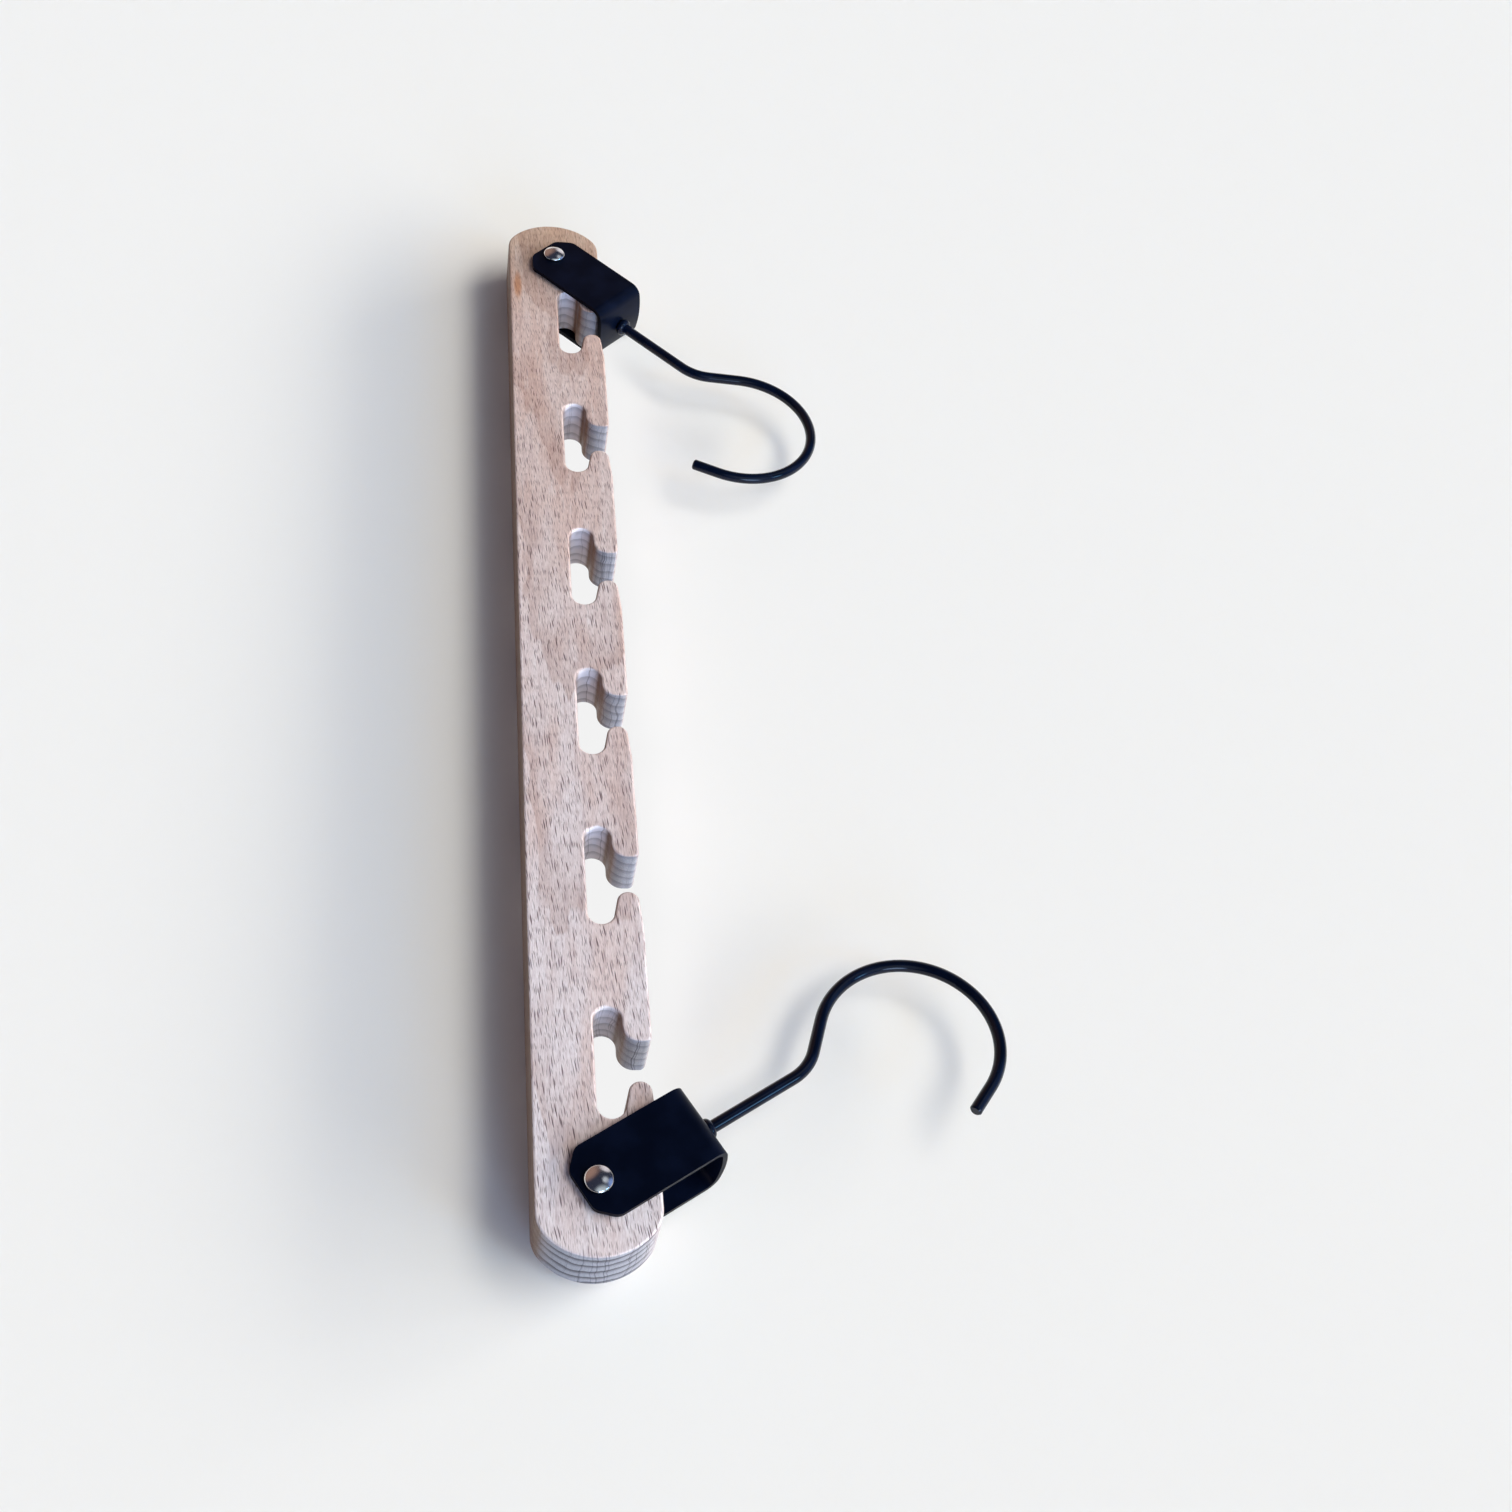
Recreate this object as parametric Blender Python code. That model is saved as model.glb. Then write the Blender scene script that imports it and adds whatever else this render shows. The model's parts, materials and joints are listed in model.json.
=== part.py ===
"""Space saving clothes hanger: a slotted wooden bar with a turning bracket and a swivel hook at each end.

Metres, +Z up. The hanger lies flat as it is put down: the bar runs along Y, its slot mouths face +X, the
front end is at -Y. The origin is on the supporting surface, under the middle of the whole footprint.
"""
import math

import bmesh
import bpy
from mathutils import Matrix, Vector

# Clearances
FIT_GAP = 0.0003             # between pieces that seat on, or pass through, each other
MERGE_DISTANCE = 0.000001    # joins the points of a turned shape that fall on its axis
CUT_OVERRUN = 0.002          # how far a drill runs past the piece that it cuts

# Bar
BAR_LENGTH = 0.391
BAR_WIDTH = 0.032
BAR_THICKNESS = 0.017
BAR_ROUND_OVER = 0.0007
END_ARCH_EASE = 0.002        # how much flatter than a half circle each end's arch is, on its radius
END_SHOULDER_RADIUS = 0.0092  # joins the arch to the long edges

# Slots, each a lobe along the bar with a mouth in the +X edge
SLOT_COUNT = 6
SLOT_LENGTH = 0.0316
LOBE_WIDTH = 0.0075
MOUTH_WIDTH = 0.0112
TOOTH_DEPTH = 0.0078         # wood between the lobe and the mouth edge
NOSE_RADIUS = 0.0047         # inner corner of the tooth behind the mouth
TOOTH_CORNER_RADIUS = 0.0018
FINGER_LEAN = 0.0008         # the finger's tip stands this much further out than its root
FINGER_TAPER = 0.0008        # lead-in on the finger's outer side
FINGER_TAPER_LENGTH = 0.0085
PIVOT_TO_SLOT = 0.0174

# Brackets, bent from sheet
PIVOT_FROM_END = 0.0192
SHEET = 0.0015
LEG_GAP = 0.0005             # between a leg and the bar's face
BRACKET_WIDTH = 0.021
EDGE_TO_BASE = 0.01725       # bar's long edge to the base's outer face, bracket square to the bar
LEG_TAIL = 0.0051            # pivot axis to the free end of a leg
LEG_CHAMFER = 0.0046
LEG_CORNER_RADIUS = 0.0035
BEND_RADIUS = 0.004          # outer
BASE_CROWN_RADIUS = 0.036    # outer; the base bows away from the bar
SHEET_EDGE_BREAK = 0.0002
FRONT_BRACKET_ANGLE = math.radians(30.2)
REAR_BRACKET_ANGLE = math.radians(-44.8)

# Rivets: a hollow post with a domed head above, closed by a cap with a stud below
RIVET_HEAD_DIAMETER = 0.0074
RIVET_HEAD_HEIGHT = 0.0018
RIVET_HEAD_RIM = 0.0004
RIVET_POST_DIAMETER = 0.004
RIVET_POST_WALL = 0.0008
CAP_DIAMETER = 0.0066
CAP_HEIGHT = 0.0011
CAP_RIM = 0.0003
CAP_STUD_LENGTH = 0.005
BORE_GAP = 0.0003            # between the post and the wood

# Hooks, bent from wire; the origin is where the shank leaves the bracket's base
WIRE_DIAMETER = 0.0035
HOOK_HEAD_DIAMETER = 0.006
HOOK_HEAD_THICKNESS = 0.0016
HOOK_HEAD_EDGE = 0.0003
BEAD_DIAMETER = 0.006
BEAD_LENGTH = 0.0026
BEAD_PLAY = 0.0003           # end play between the bead and the base
HOOK_HOLE_GAP = 0.00035
SHANK_LENGTH = 0.0295
KINK_RADIUS = 0.0147
KINK_ANGLE = math.radians(41.1)
NECK_LENGTH = 0.0105
HOOK_RADIUS = 0.0249
HOOK_SWEEP = math.radians(199.6)
TIP_LENGTH = 0.009
TIP_CHAMFER = 0.0004
FRONT_HOOK_SWIVEL = math.radians(-6.1)
REAR_HOOK_SWIVEL = math.radians(-1.8)

# Facets
CHORD_ERROR = 0.00004        # how far a facet may cut inside its arc
BEAD_STEP = math.radians(30)
TURNED_SIDES = 32
WIRE_BEVEL_RESOLUTION = 4
ROUND_OVER_SEGMENTS = 2
SMOOTH_ANGLE = math.radians(35)
BEVEL_ANGLE = math.radians(50)

# Derived sizes
END_ARCH_RADIUS = BAR_WIDTH / 2 + END_ARCH_EASE
SLOT_MARGIN = PIVOT_FROM_END + PIVOT_TO_SLOT
SLOT_PITCH = (BAR_LENGTH - 2 * SLOT_MARGIN - SLOT_LENGTH) / (SLOT_COUNT - 1)
LOBE_RADIUS = LOBE_WIDTH / 2
MOUTH_EDGE = BAR_WIDTH / 2
LOBE_CENTRE_X = MOUTH_EDGE - TOOTH_DEPTH - LOBE_RADIUS
FINGER_RADIUS = (TOOTH_DEPTH - FINGER_LEAN - FINGER_TAPER) / 2
FINGER_HEIGHT = (SLOT_LENGTH - MOUTH_WIDTH) / 2
PIVOT_Y = BAR_LENGTH / 2 - PIVOT_FROM_END
LEG_OUTER = BAR_THICKNESS / 2 + LEG_GAP + SHEET
LEG_REACH = BAR_WIDTH / 2 + EDGE_TO_BASE
MID_HEIGHT = CAP_HEIGHT + FIT_GAP + LEG_OUTER
POST_RADIUS = RIVET_POST_DIAMETER / 2
POST_HOLE_RADIUS = POST_RADIUS + FIT_GAP
BORE_RADIUS = POST_RADIUS + BORE_GAP
WIRE_RADIUS = WIRE_DIAMETER / 2
HOOK_HOLE_RADIUS = WIRE_RADIUS + HOOK_HOLE_GAP

# Material looks: base colour, metallic, roughness
BEECH = ("beech", (0.62, 0.45, 0.36, 1.0), 0.0, 0.55)
BLACK_PAINT = ("black_paint", (0.012, 0.013, 0.018, 1.0), 0.0, 0.28)
NICKEL = ("nickel", (0.72, 0.70, 0.67, 1.0), 1.0, 0.18)


def clear_scene():
    for obj in list(bpy.data.objects):
        bpy.data.objects.remove(obj, do_unlink=True)


def make_material(look):
    """One Principled material of the given look, new for each piece."""
    name, colour, metallic, roughness = look
    material = bpy.data.materials.new(name)
    material.use_nodes = True
    shader = material.node_tree.nodes["Principled BSDF"]
    shader.inputs["Base Color"].default_value = colour
    shader.inputs["Metallic"].default_value = metallic
    shader.inputs["Roughness"].default_value = roughness
    material.diffuse_color = colour
    return material


def add_object(name, data):
    obj = bpy.data.objects.new(name, data)
    bpy.context.scene.collection.objects.link(obj)
    return obj


def place_piece(name, data, look, parent, location, rotation=(0, 0, 0)):
    """A finished piece with its own material, placed under its parent."""
    piece = add_object(name, data)
    piece.parent = parent
    piece.location = location
    piece.rotation_euler = rotation
    if not data.materials:
        data.materials.append(None)
    piece.material_slots[0].link = "OBJECT"
    piece.material_slots[0].material = make_material(look)
    return piece


def mesh_from(bm, name):
    bmesh.ops.recalc_face_normals(bm, faces=bm.faces)
    mesh = bpy.data.meshes.new(name)
    bm.to_mesh(mesh)
    bm.free()
    return mesh


def smooth(mesh):
    mesh.shade_smooth()
    mesh.set_sharp_from_angle(angle=SMOOTH_ANGLE)
    return mesh


def arc(centre, radius, start, sweep, step=None):
    """Points along an arc from the start angle, anticlockwise where the sweep is positive."""
    half_step = step / 2 if step else math.acos(1 - CHORD_ERROR / radius)
    count = 2 * max(1, math.ceil(abs(sweep) / half_step / 4))
    angles = [start + sweep * index / count for index in range(count + 1)]
    return [centre + radius * Vector((math.cos(angle), math.sin(angle))) for angle in angles]


def angle_of(vector):
    return math.atan2(vector.y, vector.x)


def drill(radius, length, name, axis="Z"):
    """A round cutter centred on its own origin, hidden from the finished part."""
    bm = bmesh.new()
    bmesh.ops.create_cone(bm, cap_ends=True, segments=TURNED_SIDES, radius1=radius, radius2=radius, depth=length)
    if axis == "X":
        bmesh.ops.rotate(bm, verts=bm.verts, cent=(0, 0, 0), matrix=Matrix.Rotation(math.pi / 2, 3, "Y"))
    cutter = add_object(name, mesh_from(bm, name))
    cutter.hide_render = True
    cutter.display_type = "WIRE"
    return cutter


def add_cut(obj, cutter):
    boolean = obj.modifiers.new("cut", "BOOLEAN")
    boolean.operation = "DIFFERENCE"
    boolean.solver = "EXACT"
    boolean.object = cutter


def add_bevel(obj, width, segments):
    bevel = obj.modifiers.new("bevel", "BEVEL")
    bevel.limit_method = "ANGLE"
    bevel.angle_limit = BEVEL_ANGLE
    bevel.width = width
    bevel.segments = segments


def finished_mesh(obj, cutters):
    """The mesh of a blank with its modifiers applied; the blank and its cutters go away."""
    bpy.context.view_layer.update()
    evaluated = obj.evaluated_get(bpy.context.evaluated_depsgraph_get())
    mesh = bpy.data.meshes.new_from_object(evaluated)
    mesh.name = obj.name
    for used in [obj, *cutters]:
        bpy.data.objects.remove(used, do_unlink=True)
    return smooth(mesh)


def turned_mesh(name, profile):
    """A profile of (radius, height) points turned about Z."""
    bm = bmesh.new()
    verts = [bm.verts.new((radius, 0, height)) for radius, height in profile]
    edges = [bm.edges.new(pair) for pair in zip(verts, verts[1:])]
    bmesh.ops.spin(
        bm, geom=verts + edges, cent=(0, 0, 0), axis=(0, 0, 1), angle=2 * math.pi, steps=TURNED_SIDES,
        use_merge=True,
    )
    bmesh.ops.remove_doubles(bm, verts=bm.verts, dist=MERGE_DISTANCE)
    return smooth(mesh_from(bm, name))


def end_outline(end_y, outward):
    """An end's outline, anticlockwise from shoulder to shoulder; outward is +1 at the rear and -1 at the front."""
    arch_centre = Vector((0, end_y - outward * END_ARCH_RADIUS))
    inset = BAR_WIDTH / 2 - END_SHOULDER_RADIUS
    drop = math.sqrt((END_ARCH_RADIUS - END_SHOULDER_RADIUS) ** 2 - inset ** 2)
    lean = math.atan2(inset, drop)
    right = arch_centre + Vector((inset, outward * drop))
    left = arch_centre + Vector((-inset, outward * drop))
    upright = math.pi / 2
    if outward > 0:
        points = arc(right, END_SHOULDER_RADIUS, 0, upright - lean)
        points += arc(arch_centre, END_ARCH_RADIUS, upright - lean, 2 * lean)[1:]
        points += arc(left, END_SHOULDER_RADIUS, upright + lean, upright - lean)[1:]
    else:
        points = arc(left, END_SHOULDER_RADIUS, math.pi, upright - lean)
        points += arc(arch_centre, END_ARCH_RADIUS, -upright - lean, 2 * lean)[1:]
        points += arc(right, END_SHOULDER_RADIUS, -upright + lean, upright - lean)[1:]
    return points


def crossing_normal(hollow, hollow_radius, solid, solid_radius, side):
    """Direction, out of the wood, square to the line that leaves a solid corner and enters a hollow lobe."""
    link = hollow - solid
    spread = math.acos((hollow_radius + solid_radius) / link.length)
    return angle_of(link) + side * spread


def slot_outline(slot_y):
    """One slot's outline from the finger's outer side, round the lobe, to the tooth's outer corner."""
    finger = Vector((MOUTH_EDGE - FINGER_TAPER - FINGER_RADIUS, slot_y + FINGER_HEIGHT - FINGER_RADIUS))
    low_lobe = Vector((LOBE_CENTRE_X, slot_y + LOBE_RADIUS))
    high_lobe = Vector((LOBE_CENTRE_X, slot_y + SLOT_LENGTH - LOBE_RADIUS))
    nose_radius = min(NOSE_RADIUS, TOOTH_DEPTH - TOOTH_CORNER_RADIUS)
    tooth_y = slot_y + FINGER_HEIGHT + MOUTH_WIDTH
    nose = Vector((LOBE_CENTRE_X + LOBE_RADIUS + nose_radius, tooth_y + nose_radius))
    corner = Vector((MOUTH_EDGE - TOOTH_CORNER_RADIUS, tooth_y + TOOTH_CORNER_RADIUS))

    finger_side = crossing_normal(low_lobe, LOBE_RADIUS, finger, FINGER_RADIUS, -1)
    tooth_side = crossing_normal(high_lobe, LOBE_RADIUS, nose, nose_radius, 1)
    if finger_side < 0:
        finger_side += 2 * math.pi
    if tooth_side < 0:
        tooth_side += 2 * math.pi

    points = [Vector((MOUTH_EDGE, finger.y - FINGER_TAPER_LENGTH))]
    points += arc(finger, FINGER_RADIUS, 0, finger_side)
    points += arc(low_lobe, LOBE_RADIUS, finger_side - math.pi, -finger_side)
    points += arc(high_lobe, LOBE_RADIUS, math.pi, tooth_side - 2 * math.pi)
    points += arc(nose, nose_radius, tooth_side, 1.5 * math.pi - tooth_side)
    points += arc(corner, TOOTH_CORNER_RADIUS, -math.pi / 2, math.pi / 2)
    return points


def bar_outline():
    """The bar seen from above, anticlockwise."""
    outline = end_outline(-BAR_LENGTH / 2, -1)
    for index in range(SLOT_COUNT):
        outline += slot_outline(-BAR_LENGTH / 2 + SLOT_MARGIN + index * SLOT_PITCH)
    return outline + end_outline(BAR_LENGTH / 2, 1)


def bar_mesh():
    """Slotted bar with rounded edges and a bore at each pivot, centred on its own origin."""
    bm = bmesh.new()
    verts = [bm.verts.new((point.x, point.y, -BAR_THICKNESS / 2)) for point in bar_outline()]
    face = bm.faces.new(verts)
    raised = bmesh.ops.extrude_face_region(bm, geom=[face])["geom"]
    top = [item for item in raised if isinstance(item, bmesh.types.BMVert)]
    bmesh.ops.translate(bm, verts=top, vec=(0, 0, BAR_THICKNESS))
    blank = add_object("bar", mesh_from(bm, "bar"))
    add_bevel(blank, BAR_ROUND_OVER, ROUND_OVER_SEGMENTS)
    cutters = []
    for pivot_y in (-PIVOT_Y, PIVOT_Y):
        cutter = drill(BORE_RADIUS, BAR_THICKNESS + 2 * CUT_OVERRUN, "pivot_bore")
        cutter.location.y = pivot_y
        add_cut(blank, cutter)
        cutters.append(cutter)
    return finished_mesh(blank, cutters)


def rounded_corners(points, radius):
    """A polyline whose inner corners are rounded to the given radius."""
    rounded = [points[0]]
    for before, corner, after in zip(points, points[1:], points[2:]):
        arriving = (corner - before).normalized()
        leaving = (after - corner).normalized()
        turn = arriving.angle_signed(leaving, 0)
        turn_left = -turn
        reach = radius * math.tan(abs(turn_left) / 2)
        side = math.copysign(1, turn_left)
        square = Vector((-arriving.y, arriving.x)) * side
        centre = corner - arriving * reach + square * radius
        rounded += arc(centre, radius, angle_of(-square), turn_left)
    return rounded + [points[-1]]


def base_profile():
    """Middle of the sheet through both bends and the bowed base between them, as (x, z) from the upper leg down."""
    leg_z = LEG_OUTER - SHEET / 2
    bend = BEND_RADIUS - SHEET / 2
    crown = BASE_CROWN_RADIUS - SHEET / 2
    crown_centre = Vector((LEG_REACH - BASE_CROWN_RADIUS, 0))
    tilt = math.asin((leg_z - bend) / (crown - bend))
    bend_x = crown_centre.x + (crown - bend) * math.cos(tilt)
    upright = math.pi / 2
    high_bend = arc(Vector((bend_x, leg_z - bend)), bend, upright, tilt - upright)
    base = arc(crown_centre, crown, tilt, -2 * tilt)
    low_bend = arc(Vector((bend_x, bend - leg_z)), bend, -tilt, tilt - upright)
    return high_bend + base[1:-1] + low_bend


def bracket_mesh():
    """U of bent sheet: X points from the pivot to the base, Y runs across, the origin is mid-height."""
    leg_z = LEG_OUTER - SHEET / 2
    half = BRACKET_WIDTH / 2
    tail_x = LEG_CHAMFER + LEG_CORNER_RADIUS - LEG_TAIL
    tail = rounded_corners(
        [
            Vector((tail_x, half)),
            Vector((LEG_CHAMFER - LEG_TAIL, half)),
            Vector((-LEG_TAIL, half - LEG_CHAMFER)),
            Vector((-LEG_TAIL, LEG_CHAMFER - half)),
            Vector((LEG_CHAMFER - LEG_TAIL, -half)),
            Vector((tail_x, -half)),
        ],
        LEG_CORNER_RADIUS,
    )

    bm = bmesh.new()
    high = [bm.verts.new((point.x, point.y, leg_z)) for point in tail]
    low = [bm.verts.new((point.x, point.y, -leg_z)) for point in tail]
    bm.faces.new(high)
    bm.faces.new(reversed(low))
    rows = [(high[0], high[-1])]
    for station in base_profile():
        rows.append([bm.verts.new((station.x, side, station.y)) for side in (half, -half)])
    rows.append((low[0], low[-1]))
    for (left, right), (next_left, next_right) in zip(rows, rows[1:]):
        bm.faces.new((left, right, next_right, next_left))
    blank = add_object("bracket", mesh_from(bm, "bracket"))
    solidify = blank.modifiers.new("sheet", "SOLIDIFY")
    solidify.thickness = SHEET
    solidify.offset = 0
    solidify.use_even_offset = True
    pivot_drill = drill(POST_HOLE_RADIUS, 2 * (LEG_OUTER + CUT_OVERRUN), "pivot_hole")
    hook_drill = drill(HOOK_HOLE_RADIUS, 2 * (SHEET + CUT_OVERRUN), "hook_hole", axis="X")
    hook_drill.location.x = LEG_REACH - SHEET / 2
    add_cut(blank, pivot_drill)
    add_cut(blank, hook_drill)
    add_bevel(blank, SHEET_EDGE_BREAK, 1)
    return finished_mesh(blank, [pivot_drill, hook_drill])


def dome(radius, height, rim):
    """Half a domed cap's section from its crown out to its rim, resting at height zero."""
    rise = height - rim
    sphere = (radius ** 2 + rise ** 2) / (2 * rise)
    half_angle = math.asin(radius / sphere)
    crown = arc(Vector((0, height - sphere)), sphere, math.pi / 2, -half_angle, half_angle / 6)
    return [(max(point.x, 0), point.y) for point in crown]


def rivet_mesh():
    """Domed head on a hollow post; the head's seat is at height zero and the post runs down."""
    head_radius = RIVET_HEAD_DIAMETER / 2
    hollow_radius = POST_RADIUS - RIVET_POST_WALL
    post_length = 2 * LEG_OUTER + FIT_GAP
    hollow_depth = CAP_STUD_LENGTH + FIT_GAP
    profile = dome(head_radius, RIVET_HEAD_HEIGHT, RIVET_HEAD_RIM) + [
        (head_radius, 0),
        (POST_RADIUS, 0),
        (POST_RADIUS, -post_length),
        (hollow_radius, -post_length),
        (hollow_radius, hollow_depth - post_length),
        (0, hollow_depth - post_length),
    ]
    return turned_mesh("rivet", profile)


def rivet_cap_mesh():
    """Closing cap with a stud; made dome up, so that it is turned over when it is placed."""
    cap_radius = CAP_DIAMETER / 2
    stud_radius = POST_RADIUS - RIVET_POST_WALL - FIT_GAP
    profile = dome(cap_radius, CAP_HEIGHT, CAP_RIM) + [
        (cap_radius, 0),
        (stud_radius, 0),
        (stud_radius, -CAP_STUD_LENGTH),
        (0, -CAP_STUD_LENGTH),
    ]
    return turned_mesh("rivet_cap", profile)


def hook_stations():
    """Centre line and radius of the hook from its peened head to its tip, in the plane z = 0."""
    head_radius = HOOK_HEAD_DIAMETER / 2
    inner_crown = BASE_CROWN_RADIUS - SHEET
    base_sag = inner_crown - math.sqrt(inner_crown ** 2 - head_radius ** 2)
    head_face = -SHEET - base_sag - FIT_GAP
    head_back = head_face - HOOK_HEAD_THICKNESS
    bead_x = BEAD_PLAY + BEAD_LENGTH / 2
    bead_swell = BEAD_DIAMETER / 2 - WIRE_RADIUS
    stations = [
        (Vector((head_back, 0)), head_radius - HOOK_HEAD_EDGE),
        (Vector((head_back + HOOK_HEAD_EDGE, 0)), head_radius),
        (Vector((head_face - HOOK_HEAD_EDGE, 0)), head_radius),
        (Vector((head_face, 0)), WIRE_RADIUS),
    ]
    for step in arc(Vector((0, 0)), 1, math.pi, -math.pi, BEAD_STEP):
        stations.append((Vector((bead_x + step.x * BEAD_LENGTH / 2, 0)), WIRE_RADIUS + max(step.y, 0) * bead_swell))

    kink_start = Vector((SHANK_LENGTH, 0))
    kink = arc(kink_start + Vector((0, KINK_RADIUS)), KINK_RADIUS, -math.pi / 2, KINK_ANGLE)
    heading = Vector((math.cos(KINK_ANGLE), math.sin(KINK_ANGLE)))
    bow_start = kink[-1] + heading * NECK_LENGTH
    bow_centre = bow_start + Vector((heading.y, -heading.x)) * HOOK_RADIUS
    bow = arc(bow_centre, HOOK_RADIUS, KINK_ANGLE + math.pi / 2, -HOOK_SWEEP)
    last = KINK_ANGLE - HOOK_SWEEP
    tip_heading = Vector((math.cos(last), math.sin(last)))
    tip = bow[-1] + tip_heading * TIP_LENGTH
    stations += [(point, WIRE_RADIUS) for point in kink + bow]
    stations.append((tip - tip_heading * TIP_CHAMFER, WIRE_RADIUS))
    stations.append((tip, WIRE_RADIUS - TIP_CHAMFER))
    return stations


def hook_curve():
    """Wire hook as a bevelled curve whose point radii make the head, the bead and the tip's chamfer."""
    curve = bpy.data.curves.new("hook", "CURVE")
    curve.dimensions = "3D"
    curve.bevel_depth = WIRE_RADIUS
    curve.bevel_resolution = WIRE_BEVEL_RESOLUTION
    curve.use_fill_caps = True
    stations = hook_stations()
    spline = curve.splines.new("POLY")
    spline.points.add(len(stations) - 1)
    for knot, (point, radius) in zip(spline.points, stations):
        knot.co = (point.x, point.y, 0, 1)
        knot.radius = radius / WIRE_RADIUS
    spline.use_smooth = True
    return curve


def centre_on_footprint(root, pieces):
    """Move the whole hanger so that the origin lies under the middle of its bounding box."""
    bpy.context.view_layer.update()
    depsgraph = bpy.context.evaluated_depsgraph_get()
    points = []
    for piece in pieces:
        evaluated = piece.evaluated_get(depsgraph)
        mesh = evaluated.to_mesh()
        points += [evaluated.matrix_world @ vertex.co for vertex in mesh.vertices]
        evaluated.to_mesh_clear()
    low = Vector([min(point[axis] for point in points) for axis in range(3)])
    high = Vector([max(point[axis] for point in points) for axis in range(3)])
    middle = (low + high) / 2
    root.location = (-middle.x, -middle.y, -low.z)


def build_hanger():
    root = add_object("hanger", None)
    pieces = [place_piece("bar", bar_mesh(), BEECH, root, (0, 0, MID_HEIGHT))]
    bracket = bracket_mesh()
    rivet = rivet_mesh()
    cap = rivet_cap_mesh()
    hook = hook_curve()
    ends = (
        ("front", -PIVOT_Y, FRONT_BRACKET_ANGLE, FRONT_HOOK_SWIVEL),
        ("rear", PIVOT_Y, REAR_BRACKET_ANGLE, REAR_HOOK_SWIVEL),
    )
    for end, pivot_y, bracket_angle, hook_swivel in ends:
        axis = add_object(end + "_pivot_axis", None)
        axis.parent = root
        axis.location = (0, pivot_y, MID_HEIGHT)
        seat = LEG_OUTER + FIT_GAP
        turned_over = (math.pi, 0, 0)
        carrier = place_piece(end + "_bracket", bracket, BLACK_PAINT, axis, (0, 0, 0), (0, 0, bracket_angle))
        pieces += [
            carrier,
            place_piece(end + "_rivet", rivet, NICKEL, axis, (0, 0, seat)),
            place_piece(end + "_rivet_cap", cap, NICKEL, axis, (0, 0, -seat), turned_over),
            place_piece(end + "_hook", hook, BLACK_PAINT, carrier, (LEG_REACH, 0, 0), (hook_swivel, 0, 0)),
        ]
    centre_on_footprint(root, pieces)


clear_scene()
build_hanger()
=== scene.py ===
"""Looks of the space saving hanger: beech bar, black enamelled brackets and hooks, nickel rivets.

Metres, +Z up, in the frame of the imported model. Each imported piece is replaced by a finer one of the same
size, placed by the model's own joints. Lengths inside a material are millimetres, so that its grain is true
to size.
"""

import json
import math

import bmesh
import bpy
from mathutils import Matrix, Vector

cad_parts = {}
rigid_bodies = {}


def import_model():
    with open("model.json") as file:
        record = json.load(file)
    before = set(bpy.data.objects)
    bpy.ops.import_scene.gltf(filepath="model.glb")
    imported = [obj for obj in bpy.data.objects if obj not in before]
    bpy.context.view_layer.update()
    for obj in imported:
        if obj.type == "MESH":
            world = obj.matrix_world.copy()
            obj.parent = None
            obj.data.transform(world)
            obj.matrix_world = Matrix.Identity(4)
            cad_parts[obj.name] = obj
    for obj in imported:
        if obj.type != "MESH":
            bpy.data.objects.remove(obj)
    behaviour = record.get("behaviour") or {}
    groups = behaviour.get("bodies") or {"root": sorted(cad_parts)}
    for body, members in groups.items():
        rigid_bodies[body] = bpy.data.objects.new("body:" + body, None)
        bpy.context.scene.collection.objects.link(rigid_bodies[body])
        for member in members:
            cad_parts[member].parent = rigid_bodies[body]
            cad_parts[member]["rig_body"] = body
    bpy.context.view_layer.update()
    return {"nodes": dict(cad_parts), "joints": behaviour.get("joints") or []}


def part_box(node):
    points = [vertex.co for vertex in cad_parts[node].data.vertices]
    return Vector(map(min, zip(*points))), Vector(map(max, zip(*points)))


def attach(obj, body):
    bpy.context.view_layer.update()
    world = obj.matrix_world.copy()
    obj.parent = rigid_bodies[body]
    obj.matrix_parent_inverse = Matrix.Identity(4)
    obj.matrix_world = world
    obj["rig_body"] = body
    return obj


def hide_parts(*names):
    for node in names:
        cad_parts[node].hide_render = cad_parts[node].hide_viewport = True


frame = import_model()

MILLIMETRES = 1000           # in a metre

# Bar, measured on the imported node
BAR_LOW, BAR_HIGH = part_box("bar")
BAR_WIDTH = BAR_HIGH.x - BAR_LOW.x
BAR_LENGTH = BAR_HIGH.y - BAR_LOW.y
BAR_THICKNESS = BAR_HIGH.z - BAR_LOW.z
BAR_CENTRE = (BAR_LOW + BAR_HIGH) / 2
BAR_ROUND_OVER = 0.0007
END_ARCH_EASE = 0.002
END_SHOULDER_RADIUS = 0.0092
BORE_RADIUS = 0.0023

# Slots
SLOT_COUNT = 6
SLOT_LENGTH = 0.0316
LOBE_WIDTH = 0.0075
MOUTH_WIDTH = 0.0112
TOOTH_DEPTH = 0.0078
NOSE_RADIUS = 0.0047
TOOTH_CORNER_RADIUS = 0.0018
FINGER_LEAN = 0.0008
FINGER_TAPER = 0.0008
FINGER_TAPER_LENGTH = 0.0085
PIVOT_TO_SLOT = 0.0174

# Brackets
SHEET = 0.0015
LEG_GAP = 0.0005
BRACKET_WIDTH = 0.021
LEG_TAIL = 0.0051
LEG_CHAMFER = 0.0046
LEG_CORNER_RADIUS = 0.0035
BEND_RADIUS = 0.004
BASE_CROWN_RADIUS = 0.036
SHEET_EDGE_BREAK = 0.00025   # rounding of the sheet's cut edges

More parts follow.
